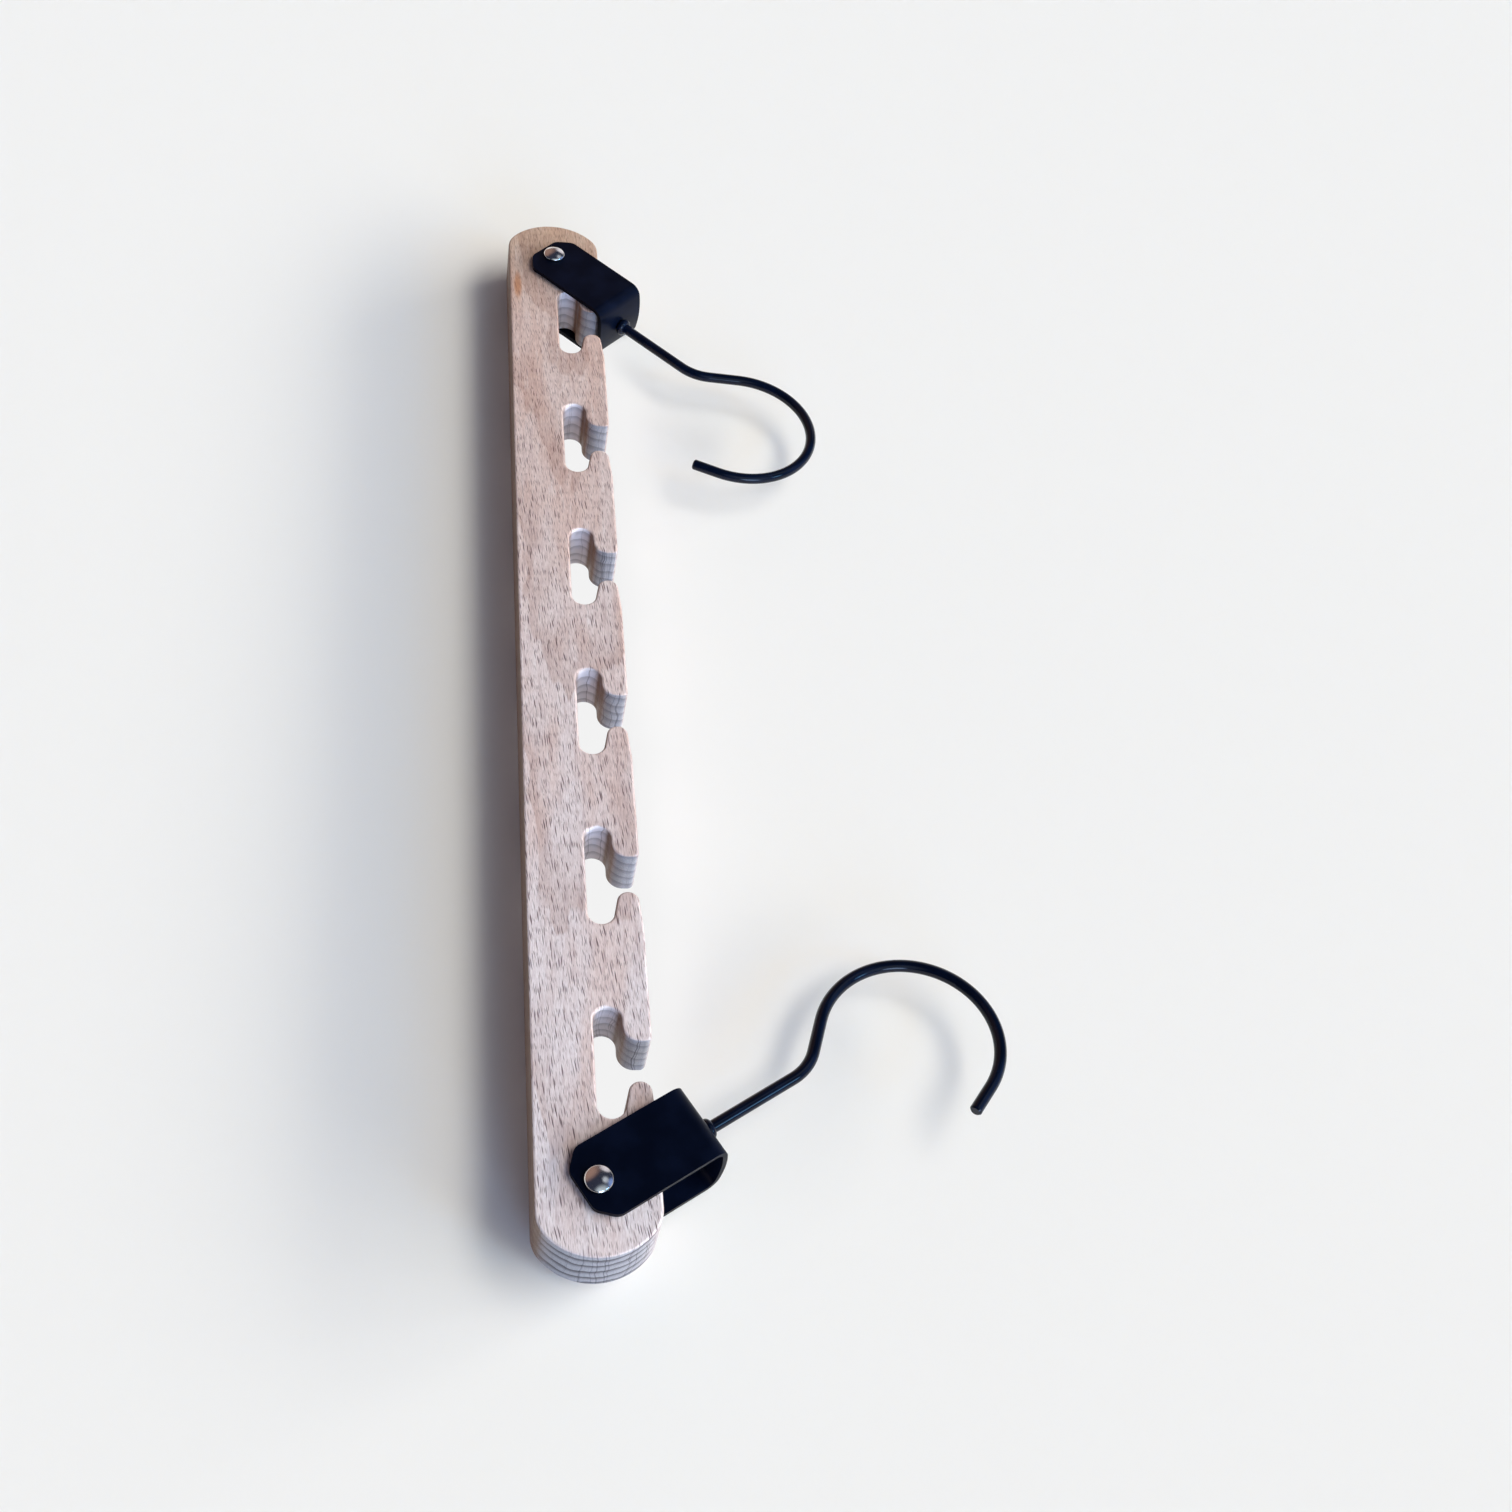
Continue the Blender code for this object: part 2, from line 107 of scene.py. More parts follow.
# Rivets and their caps
RIVET_HEAD_DIAMETER = 0.0074
RIVET_HEAD_HEIGHT = 0.0018
RIVET_HEAD_RIM = 0.0007
RIVET_POST_DIAMETER = 0.004
RIVET_POST_WALL = 0.0008
CAP_DIAMETER = 0.0066
CAP_HEIGHT = 0.0011
CAP_RIM = 0.0003
CAP_STUD_LENGTH = 0.005
RIM_ROUNDING = 0.00025       # where a dome meets its upright rim
RIM_SWEEP = math.radians(60)
FIT_GAP = 0.0003             # between pieces that seat on, or pass through, each other

# Hooks
WIRE_DIAMETER = 0.0035
HOOK_HEAD_DIAMETER = 0.006
HOOK_HEAD_THICKNESS = 0.0016
HOOK_HEAD_EDGE = 0.0003
BEAD_DIAMETER = 0.006
BEAD_LENGTH = 0.0026
BEAD_PLAY = 0.0003
HOOK_HOLE_GAP = 0.00035
SHANK_LENGTH = 0.0295
KINK_RADIUS = 0.0147
KINK_ANGLE = math.radians(41.1)
NECK_LENGTH = 0.0105
HOOK_RADIUS = 0.0249
HOOK_SWEEP = math.radians(199.6)
TIP_LENGTH = 0.009
TIP_CHAMFER = 0.0004
FRONT_HOOK_SWIVEL = math.radians(-6.1)
REAR_HOOK_SWIVEL = math.radians(-1.8)

# Fineness of the pieces
CHORD_ERROR = 0.000006       # how far a facet may cut inside its arc
MERGE_DISTANCE = 0.000001    # joins the points of a turned shape that fall on its axis
CUT_OVERRUN = 0.002          # how far a drill runs past the piece that it cuts
BEAD_STEP = math.radians(8)
TURNED_SIDES = 96
WIRE_BEVEL_RESOLUTION = 12
ROUND_OVER_SEGMENTS = 5
EDGE_BREAK_SEGMENTS = 3
DOME_STEPS = 16              # from a dome's crown to its rim, at least
FLAT_FACE_WEIGHT = 100
SMOOTH_ANGLE = math.radians(35)
BEVEL_ANGLE = math.radians(50)

# Derived sizes
END_ARCH_RADIUS = BAR_WIDTH / 2 + END_ARCH_EASE
LOBE_RADIUS = LOBE_WIDTH / 2
MOUTH_EDGE = BAR_WIDTH / 2
LOBE_CENTRE_X = MOUTH_EDGE - TOOTH_DEPTH - LOBE_RADIUS
FINGER_RADIUS = (TOOTH_DEPTH - FINGER_LEAN - FINGER_TAPER) / 2
FINGER_HEIGHT = (SLOT_LENGTH - MOUTH_WIDTH) / 2
LEG_OUTER = BAR_THICKNESS / 2 + LEG_GAP + SHEET
POST_RADIUS = RIVET_POST_DIAMETER / 2
POST_HOLE_RADIUS = POST_RADIUS + FIT_GAP
WIRE_RADIUS = WIRE_DIAMETER / 2
HOOK_HOLE_RADIUS = WIRE_RADIUS + HOOK_HOLE_GAP
HALF_BOARD = BAR_LENGTH * MILLIMETRES / 2

# Places, from the model's joints
JOINTS = {joint["name"]: joint for joint in frame["joints"]}
FRONT_PIVOT = Vector(JOINTS["front_bracket_pivot"]["pos_m"])
REAR_PIVOT = Vector(JOINTS["rear_bracket_pivot"]["pos_m"])
FRONT_BASE = Vector(JOINTS["front_hook_swivel"]["pos_m"])
REAR_BASE = Vector(JOINTS["rear_hook_swivel"]["pos_m"])
LEG_REACH = (FRONT_BASE - FRONT_PIVOT).length
SLOT_MARGIN = FRONT_PIVOT.y - BAR_LOW.y + PIVOT_TO_SLOT
SLOT_PITCH = (BAR_LENGTH - 2 * SLOT_MARGIN - SLOT_LENGTH) / (SLOT_COUNT - 1)

# Camera, at the photograph's view
CAMERA_PLACE = Vector((-0.09682, -0.36474, 0.45667))
CAMERA_AXIS = Vector((0.18479, 0.60246, -0.77646))
CAMERA_UP = Vector((-0.0186, 0.7921, 0.6101))
CAMERA_LENS = 44.393         # on a 36 mm sensor
CAMERA_SHIFT = (-0.0037, -0.0325)
CAMERA_NEAR = 0.01
CAMERA_FAR = 200

# Studio
FLOOR_RADIUS = 12
FLOOR_SIDES = 128
PALE = (0.888, 0.888, 0.888, 1)  # of the floor and the horizon
STRIP_EDGE = 3.0             # millimetres, round the painted light on the floor under the slots
STRIP_FADE = 22.0            # millimetres, on its open side
HORIZON_TOP = 0.04           # height of a direction up to which the sky is pale
HORIZON_FADE = 0.20
ROOM = (0.03, 0.035, 0.06, 1)    # of the sky above the horizon

# Key lamps, a row side by side at each height: elevation and width in degrees, part of the floor's light
KEY_AZIMUTHS = (-40, -24, -8, 8, 24)
KEY_ROWS = (
    ("key_high", 52, 22, 0.40),
    ("key_low", 15, 14, 0.313),
)
KEY_COLOUR = (1.0, 0.937, 0.786)

# Soft panels in the sky: azimuth, elevation, inner and outer radius in degrees, colour
PANELS = (
    (125, 22, 16, 50, (0.30, 0.17, 0.11, 1)),
    (64, 18, 7, 20, (0.80, 0.76, 0.80, 1)),
    (-75, 14, 9, 15, (4.2, 6.0, 9.2, 1)),
    (-34, 28, 4, 8, (2.4, 6.2, 11.0, 1)),
    (20, 58, 5, 16, (0.55, 0.60, 0.66, 1)),
    (-68, 40, 10, 40, (0.58, 0.68, 0.74, 1)),
    (0, 27, 8, 26, (0.24, 0.38, 0.80, 1)),
)


# Shapes


def add_object(name, data):
    obj = bpy.data.objects.new(name, data)
    bpy.context.scene.collection.objects.link(obj)
    return obj


def mesh_from(bm, name):
    bmesh.ops.recalc_face_normals(bm, faces=bm.faces)
    mesh = bpy.data.meshes.new(name)
    bm.to_mesh(mesh)
    bm.free()
    return mesh


def smooth(mesh):
    mesh.shade_smooth()
    mesh.set_sharp_from_angle(angle=SMOOTH_ANGLE)
    return mesh


def arc(centre, radius, start, sweep, step=None):
    """Points along an arc from the start angle, anticlockwise where the sweep is positive."""
    half_step = step / 2 if step else math.acos(1 - CHORD_ERROR / radius)
    count = 2 * max(1, math.ceil(abs(sweep) / half_step / 4))
    angles = [start + sweep * index / count for index in range(count + 1)]
    return [centre + radius * Vector((math.cos(angle), math.sin(angle))) for angle in angles]


def angle_of(vector):
    return math.atan2(vector.y, vector.x)


def drill(radius, length, name, axis="Z"):
    """A round cutter centred on its own origin."""
    bm = bmesh.new()
    bmesh.ops.create_cone(
        bm, cap_ends=True, segments=TURNED_SIDES, radius1=radius, radius2=radius, depth=length,
    )
    if axis == "X":
        bmesh.ops.rotate(bm, verts=bm.verts, cent=(0, 0, 0), matrix=Matrix.Rotation(math.pi / 2, 3, "Y"))
    return add_object(name, mesh_from(bm, name))


def add_cut(obj, cutter):
    boolean = obj.modifiers.new("cut", "BOOLEAN")
    boolean.operation = "DIFFERENCE"
    boolean.solver = "EXACT"
    boolean.object = cutter


def add_bevel(obj, width, segments):
    bevel = obj.modifiers.new("bevel", "BEVEL")
    bevel.limit_method = "ANGLE"
    bevel.angle_limit = BEVEL_ANGLE
    bevel.width = width
    bevel.segments = segments


def keep_faces_flat(obj):
    """Normals that stay flat on the broad faces and turn only across the rounded edges."""
    normals = obj.modifiers.new("normals", "WEIGHTED_NORMAL")
    normals.weight = FLAT_FACE_WEIGHT
    normals.keep_sharp = True


def finished_mesh(obj, cutters=()):
    """The mesh of a blank with its modifiers applied; the blank and its cutters go away."""
    bpy.context.view_layer.update()
    evaluated = obj.evaluated_get(bpy.context.evaluated_depsgraph_get())
    mesh = bpy.data.meshes.new_from_object(evaluated)
    mesh.name = obj.name
    for used in [obj, *cutters]:
        bpy.data.objects.remove(used, do_unlink=True)
    return mesh


def turned_mesh(name, profile):
    """A profile of (radius, height) points turned about Z."""
    bm = bmesh.new()
    verts = [bm.verts.new((radius, 0, height)) for radius, height in profile]
    edges = [bm.edges.new(pair) for pair in zip(verts, verts[1:])]
    bmesh.ops.spin(
        bm, geom=verts + edges, cent=(0, 0, 0), axis=(0, 0, 1), angle=2 * math.pi, steps=TURNED_SIDES,
        use_merge=True,
    )
    bmesh.ops.remove_doubles(bm, verts=bm.verts, dist=MERGE_DISTANCE)
    return smooth(mesh_from(bm, name))


def end_outline(end_y, outward):
    """An end's outline, anticlockwise from shoulder to shoulder; outward is +1 rear, -1 front."""
    arch_centre = Vector((0, end_y - outward * END_ARCH_RADIUS))
    inset = BAR_WIDTH / 2 - END_SHOULDER_RADIUS
    drop = math.sqrt((END_ARCH_RADIUS - END_SHOULDER_RADIUS) ** 2 - inset ** 2)
    lean = math.atan2(inset, drop)
    right = arch_centre + Vector((inset, outward * drop))
    left = arch_centre + Vector((-inset, outward * drop))
    upright = math.pi / 2
    if outward > 0:
        points = arc(right, END_SHOULDER_RADIUS, 0, upright - lean)
        points += arc(arch_centre, END_ARCH_RADIUS, upright - lean, 2 * lean)[1:]
        points += arc(left, END_SHOULDER_RADIUS, upright + lean, upright - lean)[1:]
    else:
        points = arc(left, END_SHOULDER_RADIUS, math.pi, upright - lean)
        points += arc(arch_centre, END_ARCH_RADIUS, -upright - lean, 2 * lean)[1:]
        points += arc(right, END_SHOULDER_RADIUS, -upright + lean, upright - lean)[1:]
    return points


def crossing_normal(hollow, hollow_radius, solid, solid_radius, side):
    """Direction out of the wood, square to the line from a solid corner into a hollow lobe."""
    link = hollow - solid
    spread = math.acos((hollow_radius + solid_radius) / link.length)
    return (angle_of(link) + side * spread) % (2 * math.pi)


def slot_outline(slot_y):
    """One slot's outline from the finger's outer side, round the lobe, to the tooth's outer corner."""
    finger = Vector((MOUTH_EDGE - FINGER_TAPER - FINGER_RADIUS, slot_y + FINGER_HEIGHT - FINGER_RADIUS))
    low_lobe = Vector((LOBE_CENTRE_X, slot_y + LOBE_RADIUS))
    high_lobe = Vector((LOBE_CENTRE_X, slot_y + SLOT_LENGTH - LOBE_RADIUS))
    nose_radius = min(NOSE_RADIUS, TOOTH_DEPTH - TOOTH_CORNER_RADIUS)
    tooth_y = slot_y + FINGER_HEIGHT + MOUTH_WIDTH
    nose = Vector((LOBE_CENTRE_X + LOBE_RADIUS + nose_radius, tooth_y + nose_radius))
    corner = Vector((MOUTH_EDGE - TOOTH_CORNER_RADIUS, tooth_y + TOOTH_CORNER_RADIUS))
    finger_side = crossing_normal(low_lobe, LOBE_RADIUS, finger, FINGER_RADIUS, -1)
    tooth_side = crossing_normal(high_lobe, LOBE_RADIUS, nose, nose_radius, 1)

    points = [Vector((MOUTH_EDGE, finger.y - FINGER_TAPER_LENGTH))]
    points += arc(finger, FINGER_RADIUS, 0, finger_side)
    points += arc(low_lobe, LOBE_RADIUS, finger_side - math.pi, -finger_side)
    points += arc(high_lobe, LOBE_RADIUS, math.pi, tooth_side - 2 * math.pi)
    points += arc(nose, nose_radius, tooth_side, 1.5 * math.pi - tooth_side)
    points += arc(corner, TOOTH_CORNER_RADIUS, -math.pi / 2, math.pi / 2)
    return points


def bar_outline():
    """The bar seen from above, anticlockwise."""
    outline = end_outline(-BAR_LENGTH / 2, -1)
    for index in range(SLOT_COUNT):
        outline += slot_outline(-BAR_LENGTH / 2 + SLOT_MARGIN + index * SLOT_PITCH)
    return outline + end_outline(BAR_LENGTH / 2, 1)


def bar_mesh():
    """Slotted bar with softly rounded edges and a bore at each pivot, centred on its own origin."""
    bm = bmesh.new()
    verts = [bm.verts.new((point.x, point.y, -BAR_THICKNESS / 2)) for point in bar_outline()]
    face = bm.faces.new(verts)
    raised = bmesh.ops.extrude_face_region(bm, geom=[face])["geom"]
    top = [item for item in raised if isinstance(item, bmesh.types.BMVert)]
    bmesh.ops.translate(bm, verts=top, vec=(0, 0, BAR_THICKNESS))
    blank = add_object("bar_blank", smooth(mesh_from(bm, "bar_blank")))
    add_bevel(blank, BAR_ROUND_OVER, ROUND_OVER_SEGMENTS)
    cutters = []
    for pivot in (FRONT_PIVOT, REAR_PIVOT):
        cutter = drill(BORE_RADIUS, BAR_THICKNESS + 2 * CUT_OVERRUN, "bore_drill")
        cutter.location.y = pivot.y - BAR_CENTRE.y
        add_cut(blank, cutter)
        cutters.append(cutter)
    keep_faces_flat(blank)
    return finished_mesh(blank, cutters)


def rounded_corners(points, radius):
    """A polyline whose inner corners are rounded to the given radius."""
    rounded = [points[0]]
    for before, corner, after in zip(points, points[1:], points[2:]):
        arriving = (corner - before).normalized()
        leaving = (after - corner).normalized()
        turn_left = -arriving.angle_signed(leaving, 0)
        reach = radius * math.tan(abs(turn_left) / 2)
        square = Vector((-arriving.y, arriving.x)) * math.copysign(1, turn_left)
        centre = corner - arriving * reach + square * radius
        rounded += arc(centre, radius, angle_of(-square), turn_left)
    return rounded + [points[-1]]


def base_profile():
    """Middle of the sheet round both bends and the bowed base, as (x, z) from the upper leg down."""
    leg_z = LEG_OUTER - SHEET / 2
    bend = BEND_RADIUS - SHEET / 2
    crown = BASE_CROWN_RADIUS - SHEET / 2
    crown_centre = Vector((LEG_REACH - BASE_CROWN_RADIUS, 0))
    tilt = math.asin((leg_z - bend) / (crown - bend))
    bend_x = crown_centre.x + (crown - bend) * math.cos(tilt)
    upright = math.pi / 2
    high_bend = arc(Vector((bend_x, leg_z - bend)), bend, upright, tilt - upright)
    base = arc(crown_centre, crown, tilt, -2 * tilt)
    low_bend = arc(Vector((bend_x, bend - leg_z)), bend, -tilt, tilt - upright)
    return high_bend + base[1:-1] + low_bend


def leg_tail():
    """Outline of a leg's free end, chamfered and rounded, from one side of the sheet to the other."""
    half = BRACKET_WIDTH / 2
    tail_x = LEG_CHAMFER + LEG_CORNER_RADIUS - LEG_TAIL
    corners = [
        Vector((tail_x, half)),
        Vector((LEG_CHAMFER - LEG_TAIL, half)),
        Vector((-LEG_TAIL, half - LEG_CHAMFER)),
        Vector((-LEG_TAIL, LEG_CHAMFER - half)),
        Vector((LEG_CHAMFER - LEG_TAIL, -half)),
        Vector((tail_x, -half)),
    ]
    return rounded_corners(corners, LEG_CORNER_RADIUS)


def bracket_surface():
    """Middle of the bent sheet: the two leg tails, and the strip between them round the base."""
    leg_z = LEG_OUTER - SHEET / 2
    half = BRACKET_WIDTH / 2
    tail = leg_tail()
    bm = bmesh.new()
    high = [bm.verts.new((point.x, point.y, leg_z)) for point in tail]
    low = [bm.verts.new((point.x, point.y, -leg_z)) for point in tail]
    bm.faces.new(high)
    bm.faces.new(reversed(low))
    rows = [(high[0], high[-1])]
    for station in base_profile():
        rows.append([bm.verts.new((station.x, side, station.y)) for side in (half, -half)])
    rows.append((low[0], low[-1]))
    for (left, right), (next_left, next_right) in zip(rows, rows[1:]):
        bm.faces.new((left, right, next_right, next_left))
    return smooth(mesh_from(bm, "bracket_blank"))


def bracket_mesh(paints):
    """U of bent sheet: X points from the pivot to the base, Y runs across, the origin is mid-height.

    The first paint is for the sheet's broad faces and the second for its cut edges.
    """
    blank = add_object("bracket_blank", bracket_surface())
    for paint in paints:
        blank.data.materials.append(paint)
    solidify = blank.modifiers.new("sheet", "SOLIDIFY")
    solidify.material_offset_rim = 1
    solidify.thickness = SHEET
    solidify.offset = 0
    solidify.use_even_offset = True
    pivot_drill = drill(POST_HOLE_RADIUS, 2 * (LEG_OUTER + CUT_OVERRUN), "pivot_drill")
    hook_drill = drill(HOOK_HOLE_RADIUS, 2 * (SHEET + CUT_OVERRUN), "hook_drill", axis="X")
    hook_drill.location.x = LEG_REACH - SHEET / 2
    add_cut(blank, pivot_drill)
    add_cut(blank, hook_drill)
    add_bevel(blank, SHEET_EDGE_BREAK, EDGE_BREAK_SEGMENTS)
    keep_faces_flat(blank)
    return finished_mesh(blank, [pivot_drill, hook_drill])


def dome(radius, height, rim):
    """Half a domed cap's section from its crown out to its rounded rim, resting at height zero."""
    rise = height - rim
    sphere = (radius ** 2 + rise ** 2) / (2 * rise)
    half_angle = math.asin(radius / sphere)
    crown = arc(Vector((0, height - sphere)), sphere, math.pi / 2, -half_angle, half_angle / DOME_STEPS)
    profile = [(max(point.x, 0), point.y) for point in crown[:-1]]
    rim_centre = Vector((radius - RIM_ROUNDING, rim - RIM_ROUNDING))
    corner = arc(rim_centre, RIM_ROUNDING, RIM_SWEEP, -RIM_SWEEP)
    return profile + [(point.x, point.y) for point in corner]


def rivet_mesh():
    """Domed head on a hollow post; the head's seat is at height zero and the post runs down."""
    head_radius = RIVET_HEAD_DIAMETER / 2
    hollow_radius = POST_RADIUS - RIVET_POST_WALL
    post_length = 2 * LEG_OUTER + FIT_GAP
    hollow_depth = CAP_STUD_LENGTH + FIT_GAP
    profile = dome(head_radius, RIVET_HEAD_HEIGHT, RIVET_HEAD_RIM) + [
        (head_radius, 0),
        (POST_RADIUS, 0),
        (POST_RADIUS, -post_length),
        (hollow_radius, -post_length),
        (hollow_radius, hollow_depth - post_length),
        (0, hollow_depth - post_length),
    ]
    return turned_mesh("rivet", profile)


def rivet_cap_mesh():
    """Closing cap with a stud; made dome up, so that it is turned over when it is placed."""
    cap_radius = CAP_DIAMETER / 2
    stud_radius = POST_RADIUS - RIVET_POST_WALL - FIT_GAP
    profile = dome(cap_radius, CAP_HEIGHT, CAP_RIM) + [
        (cap_radius, 0),
        (stud_radius, 0),
        (stud_radius, -CAP_STUD_LENGTH),
        (0, -CAP_STUD_LENGTH),
    ]
    return turned_mesh("rivet_cap", profile)


def head_and_bead():
    """Stations of the peened head inside the bracket's base and of the bead outside it."""
    head_radius = HOOK_HEAD_DIAMETER / 2
    inner_crown = BASE_CROWN_RADIUS - SHEET
    base_sag = inner_crown - math.sqrt(inner_crown ** 2 - head_radius ** 2)
    head_face = -SHEET - base_sag - FIT_GAP
    head_back = head_face - HOOK_HEAD_THICKNESS
    stations = [
        (Vector((head_back, 0)), head_radius - HOOK_HEAD_EDGE),
        (Vector((head_back + HOOK_HEAD_EDGE, 0)), head_radius),
        (Vector((head_face - HOOK_HEAD_EDGE, 0)), head_radius),
        (Vector((head_face, 0)), WIRE_RADIUS),
    ]
    bead_x = BEAD_PLAY + BEAD_LENGTH / 2
    bead_swell = BEAD_DIAMETER / 2 - WIRE_RADIUS
    for step in arc(Vector((0, 0)), 1, math.pi, -math.pi, BEAD_STEP):
        along = bead_x + step.x * BEAD_LENGTH / 2
        stations.append((Vector((along, 0)), WIRE_RADIUS + max(step.y, 0) * bead_swell))
    return stations


def hook_stations():
    """Centre line and radius of the hook from its peened head to its tip, in the plane z = 0."""
    kink_start = Vector((SHANK_LENGTH, 0))
    kink = arc(kink_start + Vector((0, KINK_RADIUS)), KINK_RADIUS, -math.pi / 2, KINK_ANGLE)
    heading = Vector((math.cos(KINK_ANGLE), math.sin(KINK_ANGLE)))
    bow_start = kink[-1] + heading * NECK_LENGTH
    bow_centre = bow_start + Vector((heading.y, -heading.x)) * HOOK_RADIUS
    bow = arc(bow_centre, HOOK_RADIUS, KINK_ANGLE + math.pi / 2, -HOOK_SWEEP)
    last = KINK_ANGLE - HOOK_SWEEP
    tip_heading = Vector((math.cos(last), math.sin(last)))
    tip = bow[-1] + tip_heading * TIP_LENGTH
    stations = head_and_bead()
    stations += [(point, WIRE_RADIUS) for point in kink + bow]
    stations.append((tip - tip_heading * TIP_CHAMFER, WIRE_RADIUS))
    stations.append((tip, WIRE_RADIUS - TIP_CHAMFER))
    return stations


def hook_mesh():
    """Wire hook swept along its stations, whose radii make the head, the bead and the tip's chamfer."""
    curve = bpy.data.curves.new("hook_line", "CURVE")
    curve.dimensions = "3D"
    curve.bevel_depth = WIRE_RADIUS
    curve.bevel_resolution = WIRE_BEVEL_RESOLUTION
    curve.use_fill_caps = True
    stations = hook_stations()
    spline = curve.splines.new("POLY")
    spline.points.add(len(stations) - 1)
    for knot, (point, radius) in zip(spline.points, stations):
        knot.co = (point.x, point.y, 0, 1)
        knot.radius = radius / WIRE_RADIUS
    return smooth(finished_mesh(add_object("hook_line", curve)))


# Materials


def add_node(tree, kind, inputs=None, **settings):
    """A new node; an input is a value, or another node's output socket."""
    node = tree.nodes.new(kind)
    for name, value in settings.items():
        setattr(node, name, value)
    for key, value in (inputs or {}).items():
        if isinstance(value, bpy.types.NodeSocket):
            tree.links.new(value, node.inputs[key])
        else:
            node.inputs[key].default_value = value
    return node


def calculate(tree, operation, *values):
    """Output of a math node on one to three numbers or sockets."""
    inputs = dict(enumerate(values))
    return add_node(tree, "ShaderNodeMath", inputs, operation=operation).outputs[0]


def remap(tree, value, low, high, to_low=0.0, to_high=1.0):
    """Value taken smoothly from one range to another, and held inside it."""
    inputs = {"Value": value, "From Min": low, "From Max": high, "To Min": to_low, "To Max": to_high}
    node = add_node(tree, "ShaderNodeMapRange", inputs, interpolation_type="SMOOTHSTEP")
    return node.outputs["Result"]


def axes(tree, vector):
    """Outputs "X", "Y" and "Z" of a vector."""
    return add_node(tree, "ShaderNodeSeparateXYZ", {0: vector}).outputs


def stretch(tree, vector, sizes):
    """Coordinates in which a detail of these sizes is one unit long."""
    scale = tuple(1 / size for size in sizes)
    inputs = {0: vector, 1: scale}
    return add_node(tree, "ShaderNodeVectorMath", inputs, operation="MULTIPLY").outputs[0]


def shift(tree, vector, offset):
    return add_node(tree, "ShaderNodeVectorMath", {0: vector, 1: offset}, operation="ADD").outputs[0]


def noise(tree, place, sizes, detail=2.0, roughness=0.5):
    """Noise from 0 to 1 with features of about these sizes."""
    inputs = {"Vector": stretch(tree, place, sizes), "Scale": 1.0, "Detail": detail, "Roughness": roughness}
    return add_node(tree, "ShaderNodeTexNoise", inputs).outputs["Fac"]


def blend(tree, share, first, second, mode="MIX"):
    """Colour between two colours or sockets."""
    node = tree.nodes.new("ShaderNodeMix")
    node.data_type = "RGBA"
    node.blend_type = mode
    # In colour mode the factor is input 0 and the two colours are inputs 6 and 7
    for socket, value in ((node.inputs[0], share), (node.inputs[6], first), (node.inputs[7], second)):
        if isinstance(value, bpy.types.NodeSocket):
            tree.links.new(value, socket)
        else:
            socket.default_value = value
    return node.outputs[2]


def darken(tree, share, colour, shade):
    """Colour multiplied by a shade, as far as the share says."""
    return blend(tree, share, colour, shade, "MULTIPLY")


def new_material(name):
    """A material with its node tree, its shader and its object coordinates in millimetres."""
    material = bpy.data.materials.new(name)
    material.use_nodes = True
    tree = material.node_tree
    shader = tree.nodes["Principled BSDF"]
    place = add_node(tree, "ShaderNodeTexCoord").outputs["Object"]
    inputs = {0: place, "Scale": MILLIMETRES}
    millimetres = add_node(tree, "ShaderNodeVectorMath", inputs, operation="SCALE")
    return material, tree, shader, millimetres.outputs[0]


def use_bump(tree, shader, height, depth):
    """Relief of the given depth in metres."""
    bump = add_node(tree, "ShaderNodeBump", {"Height": height, "Distance": depth, "Strength": 1.0})
    tree.links.new(bump.outputs["Normal"], shader.inputs["Normal"])


# Beech colours: the board from its front end to its rear end, partly painted light, its paler fibres, and
# its end grain
BEECH_NEAR_AND_COOL_SHEEN = (0.86, 0.82, 0.88, 1)
BEECH_FAR = (0.72, 0.585, 0.55, 1)
BEECH_REAR_END = (0.625, 0.465, 0.365, 1)
BEECH_PALE = (0.90, 0.87, 0.89, 1)
# End grain, darker than the face; its slight blue tint is painted cool light
BEECH_END_AND_COOL_LIGHT = (0.275, 0.285, 0.335, 1)
BEECH_SLOT_END_PAINTED_LIGHT = (0.78, 0.735, 0.79, 1)  # painted light, lighter end grain deep inside the slots

# Shades that multiply the wood beneath them; the two side shades are painted shade
WARM_SHADE = (0.95, 0.87, 0.83, 1)
RING_SHADE = (0.78, 0.70, 0.67, 1)
FIBRE_SHADE = (0.70, 0.64, 0.65, 1)
FLECK_SHADE = (0.20, 0.15, 0.17, 1)
END_RING_SHADE = (0.18, 0.17, 0.20, 1)
# Painted shade on the long sides: dark brown on faces turned left, which lie in shade, and a lighter dimming
# on faces turned right, where the lamps fall hardest
LEFT_SIDE_PAINTED_SHADE = (0.38, 0.28, 0.20, 1)
RIGHT_SIDE_PAINTED_SHADE = (0.60, 0.58, 0.58, 1)
END_RAY_SHADE = (0.55, 0.53, 0.55, 1)
STREAK_SHADE = (0.80, 0.55, 0.38, 1)

# How much of a colour or shade shows at most
PALE_SHARE = 0.55
DARK_GRAIN_SHARE = 0.7
RING_SHARE = 0.75
SHORT_FLECK_SHARE = 0.7
END_COLOUR_SHARE = 0.75      # the rest keeps some of the board's own figure
SLOT_RING_LOSS = 0.6         # of the rings' strength, inside the slots
SIDE_FLECK_LOSS = 0.75       # of the flecks' strength, on the long sides
REAR_FLECK_SHARE = 0.5       # of the flecks' strength, at the rear end

# Growth rings, in millimetres: their centre lies below the bar, and they run out along it
RING_SPACING = 3.7
RING_AXIS = (4.0, -52.0)     # across the bar, and in height
RING_SLOPE = -0.045
RING_WAVER = 7.0
RING_WAVER_SIZE = (26, 60, 30)
RING_FLUTTER = 2.4
RING_FLUTTER_SIZE = (5, 22, 8)
RING_RISE = (0.35, 0.94)     # parts of the spacing over which a ring's line darkens
RING_FALL = (0.94, 1.0)      # and then ends

